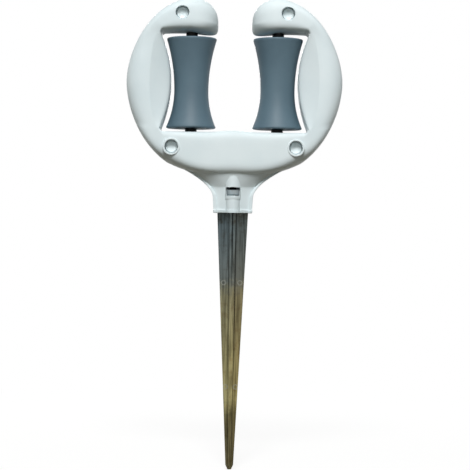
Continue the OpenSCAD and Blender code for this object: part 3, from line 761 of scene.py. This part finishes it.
def neckPost():
    post = neckForm()
    low, sill = neck["columnLowZ"], window["lowZ"]
    radius, front, foot, lip = (neck[k] for k in ("ridgeRadius", "ridgeFront", "ridgeFoot", "lip"))
    ridge = [(0, low, 0), (radius, low, 0), (radius, sill, 0), (0, sill, 0)]
    carve(post, neckColumn("ridge", radius, front, ridge), "UNION")
    step = [(0, low, 0), (radius + lip, low, 0), (radius + lip, foot, lip), (0, foot, 0)]
    carve(post, neckColumn("ridge_foot", radius + lip, front + lip, step), "UNION")
    radius, front, low, high = (neck[k] for k in ("bulgeRadius", "bulgeFront", "ledgeLowZ", "flareHighZ"))
    bulge = [(0, low, 0), (neck["ledgeRadius"], low, neck["ledgeRound"]),
             (radius, neck["ledgeZ"], neck["bulgeRound"]), (radius, high, 0), (0, high, 0)]
    carve(post, neckColumn("bulge", radius, front, bulge), "UNION")
    half = neck["groundHalf"]
    carve(post, block("ground", (-half, -half, -neck["groundDepth"]), (half, half, 0)), "DIFFERENCE")
    return post


def halfHead(isFront):
    shell = headForm()
    carve(shell, neckPost(), "UNION")
    hollow = headHollow()
    carve(hollow, funnelHollow(), "UNION")
    for name in plugNames:
        place = screwPlace(name)
        if isFront:
            height = bosses["topHeight"] if name.startswith("top") else bosses["bottomHeight"]
            boss = rod("boss", place, bosses["floor"], height, bosses["outer"], bosses["round"])
            carve(shell, boss, "UNION")
        radius = bosses["outer"] if isFront else bosses["rear"]
        carve(hollow, rod("post", place, bosses["postFrom"], bosses["postTo"], radius), "DIFFERENCE")
    for saddle in axleSaddles():
        carve(hollow, saddle, "DIFFERENCE")
    carve(shell, hollow, "DIFFERENCE")
    for tool in axleCuts(-rollerX) + axleCuts(rollerX) + [tangPocket(), windowCut(), lugSlit()]:
        carve(shell, tool, "DIFFERENCE")
    for name in plugNames:
        carve(shell, screwHole(name, isFront), "DIFFERENCE")
    if not isFront:
        mirrorDepth(shell)
    return shell


frontHalf = halfHead(True)
frontHalf.name = "front_half"
finishPiece(frontHalf, "head", shellAbs, "front_shell")
rearHalf = halfHead(False)
rearHalf.name = "rear_half"
finishPiece(rearHalf, "head", shellAbs, "rear_shell")
print("halves made with", len(frontHalf.data.polygons), "and", len(rearHalf.data.polygons), "faces")


def lugForm(side):
    back, front, turn = spike["lugBack"] * side, spike["lugFront"] * side, spike["lugRound"]
    loops = []
    for y, inset in ((back, 0), (front - side * turn, 0), (front, turn)):
        half, low, high = spike["lugHalfWidth"] - inset, spike["lugLowZ"] + inset, spike["lugHighZ"] - inset
        loops.append([(x, y, z) for x, z in roundedBox(half, low, high, spike["lugCorner"])])
    return loft("lug", loops)


def makeSpike():
    reach, stations, steps = -spike["lowZ"] - spike["pointLength"], spike["stations"], spike["pointSteps"]
    heights = [spike["topZ"], spike["topZ"] - spike["tangChamfer"], 0]
    heights += [-reach * (i + 1) / stations for i in range(stations)]
    heights += [mix(-reach, spike["lowZ"], k / steps) for k in range(1, steps + 1)]
    piece = loft("ground_spike", [spikeSection(z, 0) for z in heights])
    for side in (-1, 1):
        carve(piece, lugForm(side), "UNION")
        slit = lugSlit()
        if side == 1:
            mirrorDepth(slit)
        carve(piece, slit, "DIFFERENCE")
    # ejector marks are ring grooves in the front of the web
    past, bottom = spike["web"] + overrun, spike["web"] - spike["markDepth"]
    outer, inner = (spikeLook["markRadiusMm"] + k * spike["markRim"] / 2 for k in (1, -1))
    profile = [(inner, past), (inner, bottom), (outer, bottom), (outer, past)]
    for x, z in spikeLook["marksMm"]:
        for side in (-1, 1):
            mark = spin("mark", profile, (side * x, 0, z), "y", spike["markSegments"], True)
            carve(piece, mark, "DIFFERENCE")
    finishPiece(piece, "head", spikeZinc, "spike", spike["sharpAngle"])


makeSpike()
print("spike made")

# Rollers: hourglass with rounded rims; the bushes' black collars stand in the gaps at their ends
roller = {"radius": 16.5, "waist": 11.1, "waistDrop": 5, "bore": 3,
          "seat": 3.43, "seatDepth": 9, "seatRound": 0.4,
          "rimRound": 1.6, "rimReach": 1.3, "flankSteps": 60, "segments": 128}


def makeRoller(side):
    low, high = boxMm(side + "_roller")
    half = (high[2] - low[2]) / 2
    centre = ((low[0] + high[0]) / 2, 0, (low[2] + high[2]) / 2)
    rise = roller["radius"] - roller["waist"]

    def flankAt(h):
        # the waist sits a little below the middle, so each end has its own arc
        away = abs(h + roller["waistDrop"])
        reach = half + roller["waistDrop"] * (1 if h > -roller["waistDrop"] else -1)
        arc = (reach * reach + rise * rise) / (2 * rise)
        return roller["waist"] + arc - math.sqrt(arc * arc - away * away)

    rim, seat, bore = (roller[k] for k in ("radius", "seat", "bore"))
    floor = half - roller["seatDepth"]
    corners = [(seat, -floor, 0), (seat, -half, roller["seatRound"]), (rim, -half, roller["rimRound"])]
    edge = half - roller["rimRound"] * roller["rimReach"]
    for i in range(roller["flankSteps"] + 1):
        h = mix(-edge, edge, i / roller["flankSteps"])
        corners.append((flankAt(h), h, 0))
    corners += [(rim, half, roller["rimRound"]), (seat, half, roller["seatRound"]), (seat, floor, 0),
                (bore, floor, 0), (bore, -floor, 0)]
    piece = spin(side + "_hourglass", soften(corners), centre, "z", roller["segments"], True)
    finishPiece(piece, side + "_roller", rollerPp, side + "_roller")


bush = {"bore": 2.55, "spigot": 3.4, "collar": 3.8, "spigotRound": 0.3, "shoulderRound": 0.1,
        "collarRound": 0.35, "boreRound": 0.2, "segments": 64}


def makeBush(side, end):
    node = side + "_" + end + "_bush"
    low, high = boxMm(node)
    centre = ((low[0] + high[0]) / 2, 0, 0)
    lowEnd, highEnd = (v[2] for v in boxMm(side + "_roller"))
    shoulder, tip, root = (highEnd, high[2], low[2]) if end == "top" else (lowEnd, low[2], high[2])
    bore, spigot, collar = (bush[k] for k in ("bore", "spigot", "collar"))
    profile = soften([(bore, root, 0), (spigot, root, bush["spigotRound"]), (spigot, shoulder, 0),
                      (collar, shoulder, bush["shoulderRound"]), (collar, tip, bush["collarRound"]),
                      (bore, tip, bush["boreRound"])])
    piece = spin(side + "_" + end + "_collar", profile, centre, "z", bush["segments"], True)
    finishPiece(piece, side + "_roller", bushAcetal, node)


for sideName in ("left", "right"):
    makeRoller(sideName)
    for endName in ("top", "bottom"):
        makeBush(sideName, endName)
print("rollers and bushes made")

# Plugs: a skirt that grips the hole, and a dished face
plug = {"face": 3.65, "skirt": 4.2, "skirtLength": 3.6, "skirtRound": 0.2, "sink": 1.3, "dish": 0.5,
        "edge": 0.25, "edgeReach": 1.2, "steps": 14, "segments": 72}


def makePlug(name):
    low, high = boxMm(name + "_plug")
    base, front = -high[1], -low[1] - plug["sink"]
    x, z = screwPlace(name)
    skirt, top, face = plug["skirt"], base + plug["skirtLength"], plug["face"]
    corners = [(0, base, 0), (skirt, base, plug["skirtRound"]), (skirt, top, plug["skirtRound"]),
               (face, top, 0), (face, front, plug["edge"])]
    inner = face - plug["edge"] * plug["edgeReach"]
    for k in range(plug["steps"] + 1):
        r = inner * (1 - k / plug["steps"])
        corners.append((r, front - plug["dish"] * (1 - (r / inner) ** 2), 0))
    piece = spin(name + "_cap", soften(corners), (x, 0, z), "y", plug["segments"])
    finishPiece(piece, "head", plugAbs, name + "_plug")


for plugName in plugNames:
    makePlug(plugName)

for nodeName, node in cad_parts.items():
    if nodeName.endswith(("axle", "screw")):
        node.data.materials.clear()
        node.data.materials.append(plainSteel)
print("plugs made, steel set on axles and screws")


# Camera: level, a long lens, rolled a little as the photograph is
camera = {"distance": 1.15, "height": -0.0143, "aside": 0.0017, "viewWidth": 0.3055, "sensor": 36,
          "roll": -0.8}


def makeCamera():
    data = bpy.data.cameras.new("camera")
    data.sensor_width = camera["sensor"]
    data.lens = camera["sensor"] * camera["distance"] / camera["viewWidth"]
    piece = newObject("camera", data)
    piece.location = (camera["aside"], -camera["distance"], camera["height"])
    piece.rotation_euler = (math.radians(90), math.radians(camera["roll"]), 0)
    bpy.context.scene.camera = piece


makeCamera()

# Light: a soft box above the front, one behind, weak ones at the sides that no reflection shows, and a sky
# that is bright in front, and dim and tan below and behind
light = {"key": {"place": (-0.05, -1.08, 1.01), "size": 0.4, "watts": 18.8},
         "back": {"place": (-0.03, 1.25, 0.34), "size": 0.4, "watts": 11},
         "left": {"place": (-1.1, 0.5, 0.3), "size": 0.5, "watts": 3.6, "inReflections": False},
         "right": {"place": (1.1, 0.5, 0.3), "size": 0.5, "watts": 3.2, "inReflections": False},
         "aim": (0, 0, 0.06), "toSky": (0, -0.92, 0.4), "skyStrength": 0.8, "seen": "#ffffff",
         "sky": [(0.0, "#403d35"), (0.55, "#45423a"), (0.7, "#74746f"), (0.85, "#b4b9bb"), (1.0, "#dde2e5")]}


def makeLamp(name, lamp):
    data = bpy.data.lights.new(name, "AREA")
    data.shape = "SQUARE"
    data.size = lamp["size"]
    data.energy = lamp["watts"]
    piece = newObject(name, data)
    piece.location = lamp["place"]
    piece.visible_glossy = lamp.get("inReflections", True)
    aim = Vector(light["aim"]) - Vector(lamp["place"])
    piece.rotation_euler = aim.to_track_quat("-Z", "Y").to_euler()


def seenRays(tree):
    # 1 for rays that look at the background: from the camera, in a reflection or through glass
    rays = addNode(tree, "ShaderNodeLightPath")
    first = addNode(tree, "ShaderNodeMath",
                    {0: rays.outputs["Is Camera Ray"], 1: rays.outputs["Is Glossy Ray"]}, operation="MAXIMUM")
    return addNode(tree, "ShaderNodeMath", {0: first.outputs[0], 1: rays.outputs["Is Transmission Ray"]},
                   operation="MAXIMUM").outputs[0]


def makeWorld():
    world = bpy.data.worlds.new("studio")
    bpy.context.scene.world = world
    world.use_nodes = True
    tree = world.node_tree
    tree.nodes.clear()
    where = addNode(tree, "ShaderNodeTexCoord")
    facing = addNode(tree, "ShaderNodeVectorMath", {0: where.outputs["Generated"]}, {1: light["toSky"]},
                     operation="DOT_PRODUCT")
    upward = addNode(tree, "ShaderNodeMapRange", {"Value": facing.outputs["Value"]}, {"From Min": -1})
    sky = addNode(tree, "ShaderNodeValToRGB", {"Fac": upward.outputs["Result"]}, stops=light["sky"])
    soft = addNode(tree, "ShaderNodeBackground", {"Color": sky.outputs["Color"]},
                   {"Strength": light["skyStrength"]})
    white = addNode(tree, "ShaderNodeBackground", None, {"Color": linear(light["seen"]), "Strength": 1})
    both = addNode(tree, "ShaderNodeMixShader", {0: seenRays(tree), 1: soft.outputs[0], 2: white.outputs[0]})
    addNode(tree, "ShaderNodeOutputWorld", {"Surface": both.outputs[0]})


# Floor: pale where it is seen, with a trace of the shadow; dull where it only bounces light
stageFloor = {"halfMm": 3000, "gapMm": 0.5, "bounce": "#5a5342", "paper": "#f4f4f2", "glow": "#ffffff",
              "shadowShare": 0.16, "shadowFrom": 0.18, "shadowTo": 0.6}


def makeFloor():
    material = bpy.data.materials.new("floor_pale_paper")
    material.use_nodes = True
    tree = material.node_tree
    tree.nodes.clear()
    bounce = addNode(tree, "ShaderNodeBsdfDiffuse", None, {"Color": linear(stageFloor["bounce"])})
    paper = addNode(tree, "ShaderNodeBsdfDiffuse", None, {"Color": linear(stageFloor["paper"])})
    glow = addNode(tree, "ShaderNodeEmission", None, {"Color": linear(stageFloor["glow"]), "Strength": 1})
    where = addNode(tree, "ShaderNodeTexCoord")
    reach = addNode(tree, "ShaderNodeVectorMath", {0: where.outputs["Object"]}, operation="LENGTH")
    fade = addNode(tree, "ShaderNodeMapRange", {"Value": reach.outputs["Value"]},
                   {"From Min": stageFloor["shadowFrom"], "From Max": stageFloor["shadowTo"],
                    "To Min": stageFloor["shadowShare"], "To Max": 0}, interpolation_type="SMOOTHSTEP")
    shown = addNode(tree, "ShaderNodeMixShader",
                    {0: fade.outputs["Result"], 1: glow.outputs[0], 2: paper.outputs[0]})
    both = addNode(tree, "ShaderNodeMixShader",
                   {0: seenRays(tree), 1: bounce.outputs[0], 2: shown.outputs[0]})
    addNode(tree, "ShaderNodeOutputMaterial", {"Surface": both.outputs[0]})
    half, z = stageFloor["halfMm"], spike["lowZ"] - stageFloor["gapMm"]
    corners = [(-half, -half, z), (half, -half, z), (half, half, z), (-half, half, z)]
    piece = buildMesh("floor", corners, [[0, 1, 2, 3]])
    piece.data.materials.append(material)


for lampName in ("key", "back", "left", "right"):
    makeLamp(lampName + "_softbox", light[lampName])
makeWorld()
makeFloor()
bpy.context.scene.view_settings.view_transform = "Standard"
print("camera, lamps and floor made")
